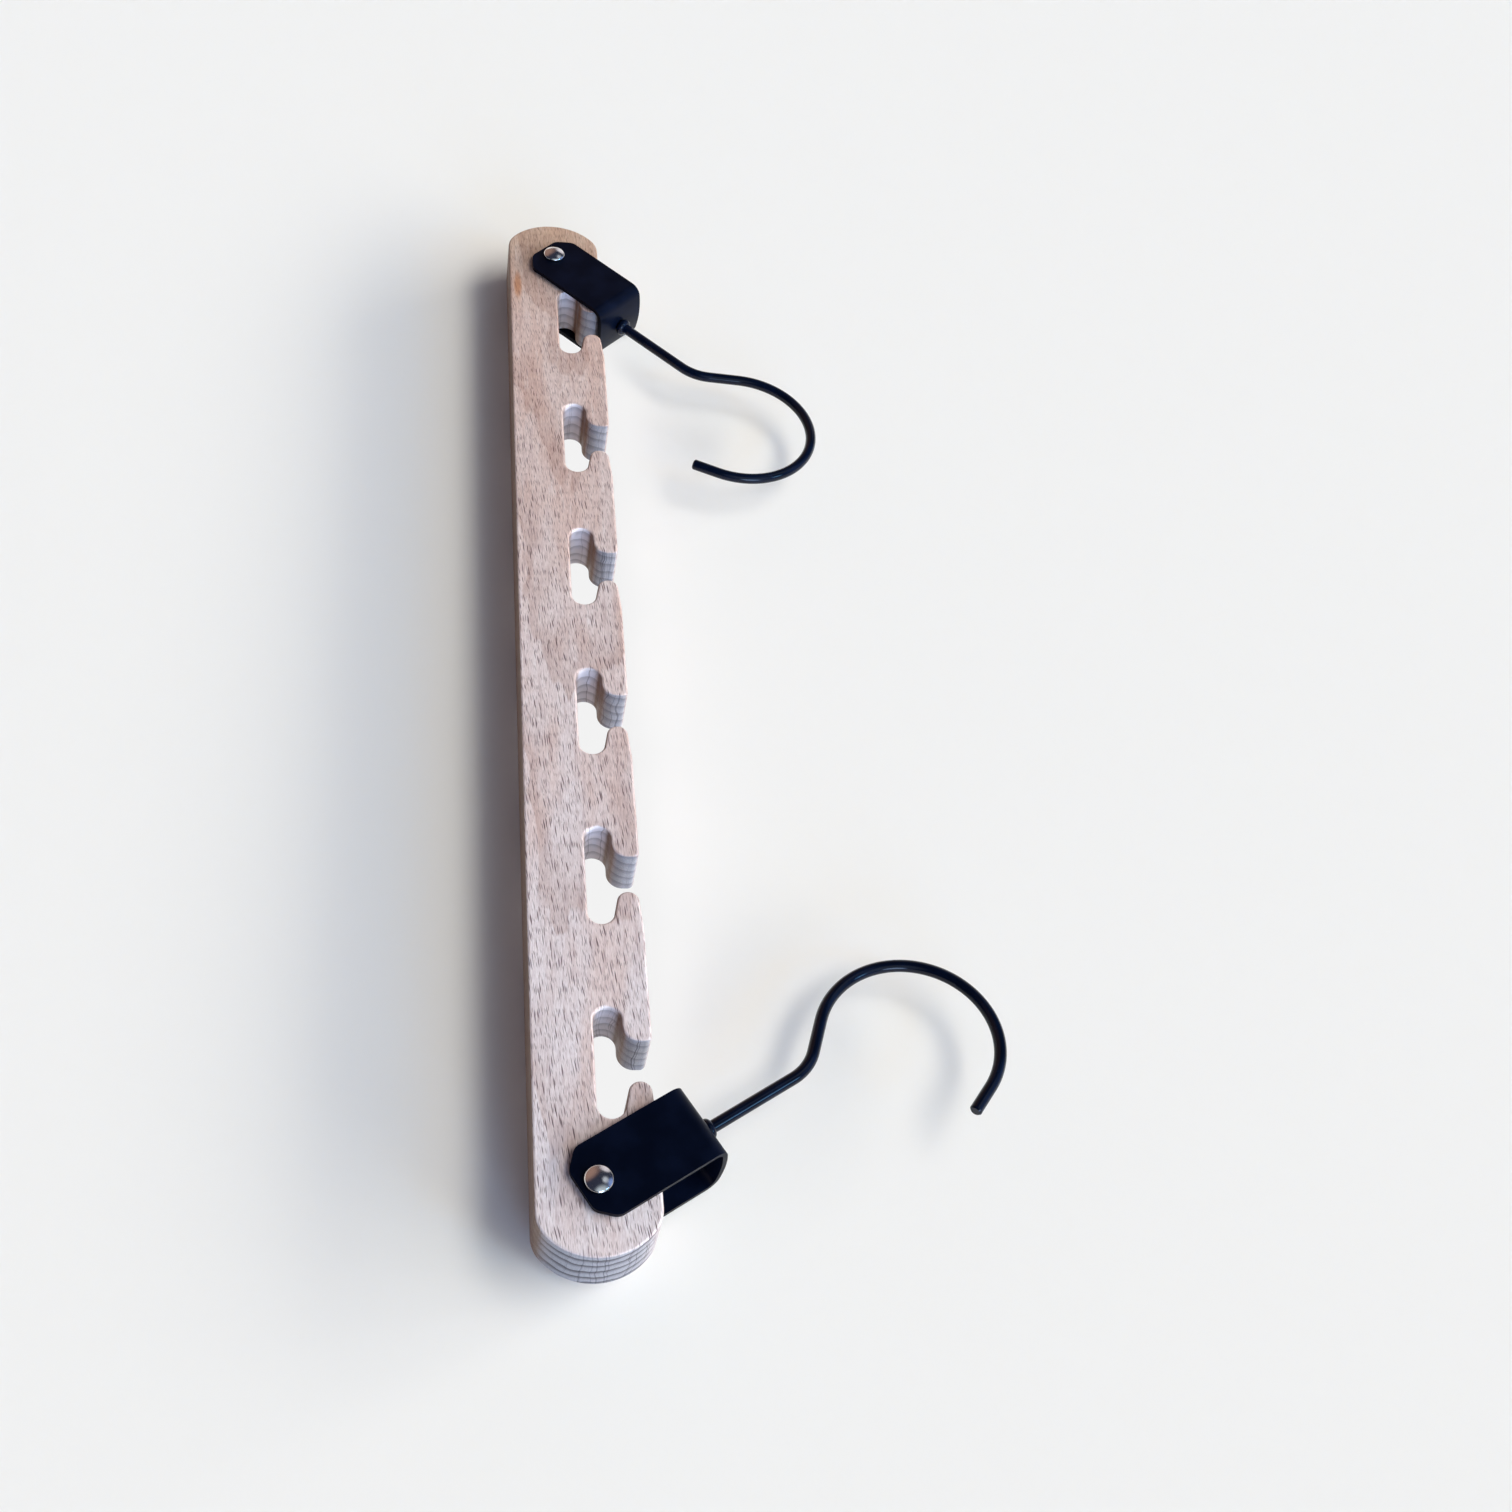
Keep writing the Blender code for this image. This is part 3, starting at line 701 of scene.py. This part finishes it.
# Flecks, the edges of the wood's rays, in millimetres: one to a cell, across and along the bar
LONG_FLECK_CELL = (0.62, 7.4)
LONG_FLECKS_KEPT = 0.85      # share of the cells that have one
SHORT_FLECK_CELL = (0.46, 3.5)
SHORT_FLECKS_KEPT = 0.6
SHORT_FLECK_SHIFT = (3.3, 1.7, 5.1)
FLECK_SIZE = (0.18, 0.36)    # reach to each side, in cells
FLECK_EDGE = (0.0, 0.6)      # part of its reach over which a fleck fades out
FLECK_STRENGTH = (0.4, 1.0)  # of the weakest and of the strongest fleck
FLECK_CHANCE_WIDTH = 0.1     # softens the step between cells with a fleck and without
FLECK_LEAN = 0.11            # how far a fleck drifts across the bar on its way along it
FLECK_SWAY = 1.4
FLECK_SWAY_SIZE = (9.0, 30.0, 6.0)
FLECK_FADE_FROM = 0.1        # in half lengths of the bar; from here to the rear end they grow weaker

# Noises in the wood: size in millimetres, and the values between which each look comes in
NOISE_MEAN = 0.5
FIBRE_SIZE = (0.24, 3.4, 0.5)
FIBRE_TEXTURE = (3.0, 0.7)   # detail and roughness
FIBRE_RANGE = (0.35, 0.7)
GRAIN_SIZE = (1.1, 17.0, 4.0)
GRAIN_TEXTURE = (3.0, 0.6)
PALE_GRAIN_RANGE = (0.55, 0.8)
DARK_GRAIN_RANGE = (0.5, 0.25)
CLOUD_SIZE = (9.0, 42.0, 14.0)
CLOUD_RANGE = (0.4, 0.7)
END_FIBRE_SIZE = (0.3, 0.3, 0.3)
END_FIBRE_RANGE = (0.3, 0.7)

# Zones of the wood: millimetres along or across the bar, or parts of a unit normal
REAR_TINT_LENGTH = 60.0
END_DEPTHS = (24.0, 12.0)    # from each end, between the slots' walls and the end's own face
SLOT_DEPTHS = (10.0, 7.0)    # across the bar, over which the painted light on a slot's deep walls comes in
STREAK_PLACE = (-13.2, 161.5)
STREAK_SIZE = (1.9, 9.0)
LEFT_FACING = (-0.4, -0.9)
RIGHT_FACING = (0.5, 0.9)
END_FACING = (0.45, 0.85)

# The wood's surface
WOOD_ROUGHNESS = 0.42
FIBRE_ROUGHNESS = 0.16
FLECK_ROUGHNESS = 0.15
FLECK_RELIEF = -0.6
WOOD_RELIEF = 0.00004        # metres


def ring_lines(tree, place):
    """Growth rings: 0 in the early wood, rising to 1 at each ring's dark line."""
    waver = noise(tree, place, RING_WAVER_SIZE, 3.0)
    flutter = noise(tree, place, RING_FLUTTER_SIZE)
    axis = axes(tree, place)
    across = calculate(tree, "SUBTRACT", axis["X"], RING_AXIS[0])
    runout = calculate(tree, "MULTIPLY", axis["Y"], RING_SLOPE)
    height = calculate(tree, "SUBTRACT", calculate(tree, "ADD", axis["Z"], runout), RING_AXIS[1])
    across_squared = calculate(tree, "MULTIPLY", across, across)
    radius = calculate(tree, "SQRT", calculate(tree, "MULTIPLY_ADD", height, height, across_squared))
    wavered = calculate(tree, "MULTIPLY_ADD", waver, RING_WAVER, radius)
    fluttered = calculate(tree, "MULTIPLY_ADD", flutter, RING_FLUTTER, wavered)
    phase = calculate(tree, "FRACT", calculate(tree, "DIVIDE", fluttered, RING_SPACING))
    rise = remap(tree, phase, *RING_RISE)
    fall = remap(tree, phase, *RING_FALL, 1.0, 0.0)
    return calculate(tree, "MULTIPLY", rise, fall)


def flecks(tree, place, cell, kept):
    """Edges of the wood's rays: short dashes along the grain that stand upright through the bar."""
    drift = noise(tree, place, FLECK_SWAY_SIZE, 1.0)
    sway = calculate(tree, "MULTIPLY", calculate(tree, "SUBTRACT", drift, NOISE_MEAN), 2 * FLECK_SWAY)
    leaned = calculate(tree, "MULTIPLY_ADD", axes(tree, place)["Y"], FLECK_LEAN, sway)
    offset = add_node(tree, "ShaderNodeCombineXYZ", {"X": leaned}).outputs[0]
    cells = stretch(tree, shift(tree, place, offset), (*cell, cell[1]))
    inputs = {"Vector": cells, "Scale": 1.0, "Randomness": 1.0}
    points = add_node(tree, "ShaderNodeTexVoronoi", inputs, voronoi_dimensions="2D", feature="F1")
    chance = add_node(tree, "ShaderNodeSeparateColor", {0: points.outputs["Color"]}).outputs
    own_size = remap(tree, chance["Red"], 0.0, 1.0, *FLECK_SIZE)
    dash = calculate(tree, "SUBTRACT", 1.0, calculate(tree, "DIVIDE", points.outputs["Distance"], own_size))
    present = remap(tree, chance["Green"], 1 - kept, 1 - kept + FLECK_CHANCE_WIDTH)
    strength = remap(tree, chance["Blue"], 0.0, 1.0, *FLECK_STRENGTH)
    shown = calculate(tree, "MULTIPLY", remap(tree, dash, *FLECK_EDGE), present)
    return calculate(tree, "MULTIPLY", shown, strength)


def streak(tree, axis):
    """One brown streak in the rear end's face."""
    parts = []
    for name, middle, size in zip("XY", STREAK_PLACE, STREAK_SIZE):
        parts.append(calculate(tree, "DIVIDE", calculate(tree, "SUBTRACT", axis[name], middle), size))
    across, along = parts
    across_squared = calculate(tree, "MULTIPLY", across, across)
    distance_squared = calculate(tree, "MULTIPLY_ADD", along, along, across_squared)
    return remap(tree, distance_squared, 0.0, 1.0, 1.0, 0.0)


def board_colour(tree, place, length, rings, fibre):
    """Colour of the sanded board without its flecks; it grows warmer towards the rear end, and this change
    is partly painted light, a cool sheen painted on the front end.
    """
    grain = noise(tree, place, GRAIN_SIZE, *GRAIN_TEXTURE)
    cloud = noise(tree, place, CLOUD_SIZE)
    rear_end = remap(tree, length, HALF_BOARD - REAR_TINT_LENGTH, HALF_BOARD)
    # Partly painted light: the front end is cooler and paler, as under a cool sheen
    board = blend(tree, remap(tree, length, -HALF_BOARD, HALF_BOARD), BEECH_NEAR_AND_COOL_SHEEN, BEECH_FAR)
    board = blend(tree, rear_end, board, BEECH_REAR_END)
    board = darken(tree, remap(tree, cloud, *CLOUD_RANGE), board, WARM_SHADE)
    board = blend(tree, remap(tree, grain, *PALE_GRAIN_RANGE, 0.0, PALE_SHARE), board, BEECH_PALE)
    board = darken(tree, remap(tree, grain, *DARK_GRAIN_RANGE, 0.0, DARK_GRAIN_SHARE), board, FIBRE_SHADE)
    board = darken(tree, calculate(tree, "MULTIPLY", rings, RING_SHARE), board, RING_SHADE)
    return darken(tree, remap(tree, fibre, *FIBRE_RANGE), board, FIBRE_SHADE)


def end_colour(tree, place, axis, board, rings, long_flecks):
    """Colour of the end grain: grey, its blue tint painted cool light, with fine ring lines and rays, and
    painted light deep inside the slots.
    """
    fibre = remap(tree, noise(tree, place, END_FIBRE_SIZE), *END_FIBRE_RANGE)
    end = blend(tree, fibre, BEECH_END_AND_COOL_LIGHT, board)
    end = blend(tree, END_COLOUR_SHARE, end, BEECH_END_AND_COOL_LIGHT)
    # Painted light: the end grain deep inside the slots is lightened, where the slots shut out much of the
    # light
    depths = [HALF_BOARD - depth for depth in END_DEPTHS]
    inside = remap(tree, calculate(tree, "ABSOLUTE", axis["Y"]), *depths, 1.0, 0.0)
    deep_painted_light = calculate(tree, "MULTIPLY", remap(tree, axis["X"], *SLOT_DEPTHS), inside)
    end = blend(tree, deep_painted_light, end, BEECH_SLOT_END_PAINTED_LIGHT)
    ring_share = calculate(tree, "MULTIPLY_ADD", inside, -SLOT_RING_LOSS, 1.0)
    end = darken(tree, calculate(tree, "MULTIPLY", rings, ring_share), end, END_RING_SHADE)
    return darken(tree, long_flecks, end, END_RAY_SHADE)


def wood_surface(tree, shader, fibre, long_flecks):
    """Gloss and relief: the flecks are duller than the fibre around them, and slightly sunk."""
    gloss = calculate(tree, "MULTIPLY_ADD", fibre, FIBRE_ROUGHNESS, WOOD_ROUGHNESS)
    rough = calculate(tree, "MULTIPLY_ADD", long_flecks, FLECK_ROUGHNESS, gloss)
    tree.links.new(rough, shader.inputs["Roughness"])
    use_bump(tree, shader, calculate(tree, "MULTIPLY_ADD", long_flecks, FLECK_RELIEF, fibre), WOOD_RELIEF)


def beech():
    """Beech cut parallel to its rings, sanded and matt lacquered; the board's long axis is Y."""
    material, tree, shader, place = new_material("beech")
    axis = axes(tree, place)
    facing = axes(tree, add_node(tree, "ShaderNodeTexCoord").outputs["Normal"])
    left_side = remap(tree, facing["X"], *LEFT_FACING)
    right_side = remap(tree, facing["X"], *RIGHT_FACING)
    end_share = remap(tree, calculate(tree, "ABSOLUTE", facing["Y"]), *END_FACING)
    sides = calculate(tree, "ADD", left_side, right_side)
    broad = calculate(tree, "MULTIPLY_ADD", sides, -SIDE_FLECK_LOSS, 1.0)
    fading = remap(tree, axis["Y"], FLECK_FADE_FROM * HALF_BOARD, HALF_BOARD, 1.0, REAR_FLECK_SHARE)
    long_flecks = flecks(tree, place, LONG_FLECK_CELL, LONG_FLECKS_KEPT)
    long_flecks = calculate(tree, "MULTIPLY", long_flecks, calculate(tree, "MULTIPLY", fading, broad))
    short_flecks = flecks(tree, shift(tree, place, SHORT_FLECK_SHIFT), SHORT_FLECK_CELL, SHORT_FLECKS_KEPT)
    short_share = calculate(tree, "MULTIPLY", broad, SHORT_FLECK_SHARE)
    rings = ring_lines(tree, place)
    fibre = noise(tree, place, FIBRE_SIZE, *FIBRE_TEXTURE)

    board = board_colour(tree, place, axis["Y"], rings, fibre)
    board = darken(tree, calculate(tree, "MULTIPLY", short_flecks, short_share), board, FLECK_SHADE)
    board = darken(tree, long_flecks, board, FLECK_SHADE)
    board = darken(tree, streak(tree, axis), board, STREAK_SHADE)
    end = end_colour(tree, place, axis, board, rings, long_flecks)
    # Painted shade: faces turned left, the long side and the slots' walls, darken to brown as in shade;
    # faces turned right darken less, to tone down the strongest light
    board = darken(tree, left_side, board, LEFT_SIDE_PAINTED_SHADE)
    board = darken(tree, right_side, board, RIGHT_SIDE_PAINTED_SHADE)
    tree.links.new(blend(tree, end_share, board, end), shader.inputs["Base Color"])
    wood_surface(tree, shader, fibre, long_flecks)
    return material


# Enamels: colour, roughness from and to, IOR, and the size and depth of their orange peel
# The colours are near black; their blue tint is partly a painted reflection of cool sky light
PAINTS = {
    "bracket_paint": ((0.0011, 0.0024, 0.0085, 1), (0.28, 0.38), 1.19, 0.35, 0.000003),
    "bracket_cut_edge": ((0.0020, 0.0026, 0.0060, 1), (0.30, 0.42), 1.13, 0.35, 0.000003),
    "hook_paint": ((0.0010, 0.0030, 0.0110, 1), (0.07, 0.10), 1.34, 0.5, 0.000002),
}
SMEAR_SIZE = (9, 9, 9)
SMEAR_COLOUR_RANGE = (0.35, 0.7)
SMEAR_GLOSS_RANGE = (0.3, 0.7)
SMEAR_GAIN = 1.7             # how much lighter the colour is where it is smeared

# Nickel
NICKEL_BRIGHT = (0.80, 0.78, 0.76, 1)
NICKEL_DULL = (0.70, 0.67, 0.65, 1)
NICKEL_ROUGHNESS = (0.15, 0.21)
DULL_PATCH_SIZE = (2.2, 2.2, 2.2)
DULL_TINT_RANGE = (0.4, 0.7)
DULL_GLOSS_RANGE = (0.35, 0.7)
TURNING_MARK_SIZE = (0.25, 0.25, 0.4)
TURNING_MARK_DEPTH = 0.000001


def enamel(name):
    """Black stove enamel with a faint orange peel and slightly uneven gloss."""
    colour, roughness, ior, peel_size, peel_depth = PAINTS[name]
    material, tree, shader, place = new_material(name)
    peel = noise(tree, place, (peel_size, peel_size, peel_size))
    smear = noise(tree, place, SMEAR_SIZE, 3.0)
    lighter = tuple(SMEAR_GAIN * part for part in colour[:3]) + (1,)
    tint = blend(tree, remap(tree, smear, *SMEAR_COLOUR_RANGE), colour, lighter)
    tree.links.new(tint, shader.inputs["Base Color"])
    tree.links.new(remap(tree, smear, *SMEAR_GLOSS_RANGE, *roughness), shader.inputs["Roughness"])
    shader.inputs["IOR"].default_value = ior
    use_bump(tree, shader, peel, peel_depth)
    return material


def nickel():
    """Polished nickel with fine turning marks and a few duller patches."""
    material, tree, shader, place = new_material("rivet_nickel")
    shader.inputs["Metallic"].default_value = 1.0
    marks = noise(tree, place, TURNING_MARK_SIZE)
    patches = noise(tree, place, DULL_PATCH_SIZE)
    tint = blend(tree, remap(tree, patches, *DULL_TINT_RANGE), NICKEL_BRIGHT, NICKEL_DULL)
    tree.links.new(tint, shader.inputs["Base Color"])
    rough = remap(tree, patches, *DULL_GLOSS_RANGE, *NICKEL_ROUGHNESS)
    tree.links.new(rough, shader.inputs["Roughness"])
    use_bump(tree, shader, marks, TURNING_MARK_DEPTH)
    return material


# Object


def painted(mesh, material):
    mesh.materials.append(material)
    return mesh


def place_piece(name, mesh, node, placement):
    """A finished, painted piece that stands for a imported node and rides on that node's body.
    """
    mesh.transform(placement.to_3x3().to_4x4())
    piece = add_object(name, mesh)
    piece.location = placement.translation
    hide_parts(node)
    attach(piece, frame["nodes"][node]["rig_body"])


def dress_end(end, pivot, base, swivel, sheet_paints, wire_paint, metal):
    """One end's bracket, hook, rivet and closing cap, placed by the bracket's pivot and its base."""
    heading = Matrix.Rotation(angle_of(base - pivot), 4, "Z")
    seat = Vector((0, 0, LEG_OUTER + FIT_GAP))
    bracket_seat = Matrix.Translation(pivot) @ heading
    hook_seat = Matrix.Translation(base) @ heading @ Matrix.Rotation(swivel, 4, "X")
    head_seat = Matrix.Translation(pivot + seat)
    cap_seat = Matrix.Translation(pivot - seat) @ Matrix.Rotation(math.pi, 4, "X")
    sheet = bracket_mesh(sheet_paints)
    wire = painted(hook_mesh(), wire_paint)
    head = painted(rivet_mesh(), metal)
    cap = painted(rivet_cap_mesh(), metal)
    place_piece(end + "_bracket_sheet", sheet, end + "_bracket", bracket_seat)
    place_piece(end + "_hook_wire", wire, end + "_hook", hook_seat)
    place_piece(end + "_rivet_head", head, end + "_rivet", head_seat)
    place_piece(end + "_rivet_close", cap, end + "_rivet_cap", cap_seat)


def dress_hanger():
    """Fine pieces for the bar, both brackets, both hooks and both rivets with their caps."""
    board = painted(bar_mesh(), beech())
    place_piece("bar_wood", board, "bar", Matrix.Translation(BAR_CENTRE))
    sheet_paints = (enamel("bracket_paint"), enamel("bracket_cut_edge"))
    wire_paint = enamel("hook_paint")
    metal = nickel()
    dress_end("front", FRONT_PIVOT, FRONT_BASE, FRONT_HOOK_SWIVEL, sheet_paints, wire_paint, metal)
    dress_end("rear", REAR_PIVOT, REAR_BASE, REAR_HOOK_SWIVEL, sheet_paints, wire_paint, metal)


# Studio


def add_camera():
    """Camera at the photograph's view."""
    back = -CAMERA_AXIS.normalized()
    right = CAMERA_UP.cross(back).normalized()
    turned = Matrix((right, back.cross(right), back)).transposed().to_4x4()
    camera = bpy.data.cameras.new("camera")
    camera.lens = CAMERA_LENS
    camera.shift_x, camera.shift_y = CAMERA_SHIFT
    camera.clip_start = CAMERA_NEAR
    camera.clip_end = CAMERA_FAR
    holder = add_object("camera", camera)
    holder.matrix_world = Matrix.Translation(CAMERA_PLACE) @ turned
    bpy.context.scene.camera = holder


def direction(azimuth, elevation):
    """Unit vector; azimuth is in degrees from +X towards +Y."""
    around = math.radians(azimuth)
    up = math.radians(elevation)
    return Vector((math.cos(around) * math.cos(up), math.sin(around) * math.cos(up), math.sin(up)))


def add_sun(name, azimuth, elevation, width, floor_share, colour):
    """A far round lamp that lights but isn't mirrored; floor_share is its part of the floor's light."""
    sun = bpy.data.lights.new(name, "SUN")
    sun.angle = math.radians(width)
    sun.energy = floor_share * math.pi / math.sin(math.radians(elevation))
    sun.color = colour
    lamp = add_object(name, sun)
    lamp.rotation_mode = "QUATERNION"
    lamp.rotation_quaternion = direction(azimuth, elevation).to_track_quat("Z", "Y")
    lamp.visible_glossy = False


def painted_slot_light(tree, place):
    """Share of the floor under the slots that is held at its own white, painted light where the bar's shade
    would fall.
    """
    axis = axes(tree, place)
    low_x = MILLIMETRES * (BAR_CENTRE.x + LOBE_CENTRE_X - LOBE_RADIUS)
    high_x = MILLIMETRES * BAR_HIGH.x
    half_y = MILLIMETRES * (BAR_LENGTH / 2 - SLOT_MARGIN)
    left = remap(tree, axis["X"], low_x - 2 * STRIP_EDGE, low_x - STRIP_EDGE)
    right = remap(tree, axis["X"], high_x, high_x + STRIP_FADE, 1.0, 0.0)
    distance = calculate(tree, "ABSOLUTE", axis["Y"])
    ends = remap(tree, distance, half_y, half_y + STRIP_EDGE, 1.0, 0.0)
    return calculate(tree, "MULTIPLY", calculate(tree, "MULTIPLY", left, right), ends)


def floor_material():
    """Matt pale floor, held at its own white under the slots for cameras and mirrors alone: a painted glow
    in place of the bar's shade there.
    """
    material, tree, shader, place = new_material("pale_floor")
    shader.inputs["Base Color"].default_value = PALE
    shader.inputs["Roughness"].default_value = 1.0
    shader.inputs["Specular IOR Level"].default_value = 0.0
    # Painted light: a glow at the floor's own white, seen only by cameras and mirrors
    painted_glow = add_node(tree, "ShaderNodeEmission", {"Color": PALE})
    ray = add_node(tree, "ShaderNodeLightPath").outputs
    mirrored = calculate(tree, "MAXIMUM", ray["Is Glossy Ray"], ray["Is Transmission Ray"])
    seen = calculate(tree, "MAXIMUM", ray["Is Camera Ray"], mirrored)
    share = calculate(tree, "MULTIPLY", seen, painted_slot_light(tree, place))
    mixed = add_node(tree, "ShaderNodeMixShader", {0: share, 1: shader.outputs[0], 2: painted_glow.outputs[0]})
    tree.links.new(mixed.outputs[0], tree.nodes["Material Output"].inputs["Surface"])
    return material


def add_floor():
    bm = bmesh.new()
    bmesh.ops.create_circle(bm, cap_ends=True, segments=FLOOR_SIDES, radius=FLOOR_RADIUS)
    floor = add_object("floor", painted(mesh_from(bm, "floor"), floor_material()))


def add_sky():
    """Dark room with soft panels, brightening to the floor's own white at the horizon."""
    world = bpy.data.worlds.new("studio")
    bpy.context.scene.world = world
    world.use_nodes = True
    tree = world.node_tree
    place = add_node(tree, "ShaderNodeTexCoord").outputs["Generated"]
    sky = blend(tree, remap(tree, axes(tree, place)["Z"], HORIZON_TOP, HORIZON_FADE), PALE, ROOM)
    for azimuth, elevation, inner, outer, colour in PANELS:
        inputs = {0: place, 1: direction(azimuth, elevation)}
        facing = add_node(tree, "ShaderNodeVectorMath", inputs, operation="DOT_PRODUCT").outputs["Value"]
        share = remap(tree, facing, math.cos(math.radians(outer)), math.cos(math.radians(inner)))
        sky = blend(tree, share, sky, colour, "ADD")
    tree.links.new(sky, tree.nodes["Background"].inputs["Color"])


def light_studio():
    """Rows of soft key lamps, which together light the floor to its own white."""
    for name, elevation, width, floor_share in KEY_ROWS:
        for azimuth in KEY_AZIMUTHS:
            add_sun(name, azimuth, elevation, width, floor_share / len(KEY_AZIMUTHS), KEY_COLOUR)


bpy.context.scene.view_settings.view_transform = "Standard"
add_camera()
add_floor()
add_sky()
light_studio()
dress_hanger()
